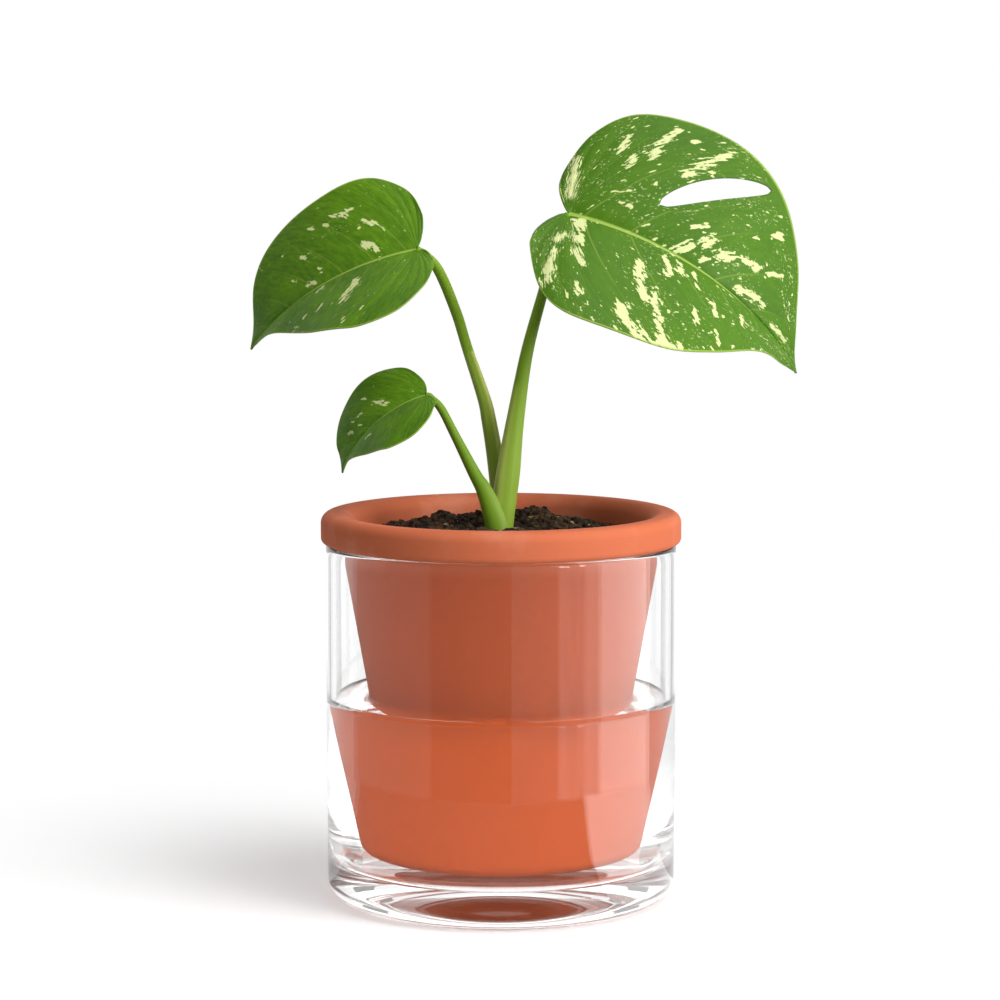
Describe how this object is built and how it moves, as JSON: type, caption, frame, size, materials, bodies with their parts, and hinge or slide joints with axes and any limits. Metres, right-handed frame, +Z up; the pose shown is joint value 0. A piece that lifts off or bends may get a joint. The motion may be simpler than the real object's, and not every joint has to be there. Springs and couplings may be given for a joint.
{
  "type": "self-watering planter",
  "caption": "Unglazed terracotta pot hung by its flange in a clear glass reservoir of water, planted with a young variegated split-leaf plant.",
  "frame": {"origin": "centre of the glass underside, on the table", "axes": "+Z up along the pot's axis, -Y towards the viewer, +X to the large leaf's side"},
  "size_m": [0.2177, 0.14, 0.3042],
  "materials": {
    "clear_glass": "gloss",
    "clear_water": "gloss",
    "unglazed_terracotta": "matte",
    "potting_mix": "matte",
    "root_tissue": "matte",
    "stalk_right_green": "satin",
    "stalk_left_green": "satin",
    "stalk_low_green": "satin",
    "leaf_right_green": "satin",
    "leaf_left_green": "satin",
    "leaf_low_green": "satin"
  },
  "bodies": {
    "reservoir": {"glass_reservoir": "clear_glass"},
    "water": {"reservoir_water": "clear_water"},
    "pot": {"terracotta_pot": "unglazed_terracotta"},
    "plant": {"potting_soil": "potting_mix", "root_crown": "root_tissue", "petiole_right": "stalk_right_green", "petiole_left": "stalk_left_green", "petiole_low": "stalk_low_green", "leaf_right": "leaf_right_green", "leaf_left": "leaf_left_green", "leaf_low": "leaf_low_green"}
  },
  "joints": [
    {"name": "pot_turn", "type": "hinge", "parent": "reservoir", "child": "water", "pos_m": [0, 0, 0.1393], "axis": [0, 0, 1], "continuous": true},
    {"name": "pot_lift", "type": "slide", "parent": "water", "child": "pot", "axis": [0, 0, 1], "range_m": [0, 0.135]},
    {"name": "root_ball_lift", "type": "slide", "parent": "pot", "child": "plant", "axis": [0, 0, 1], "range_m": [0, 0.14]}
  ]
}
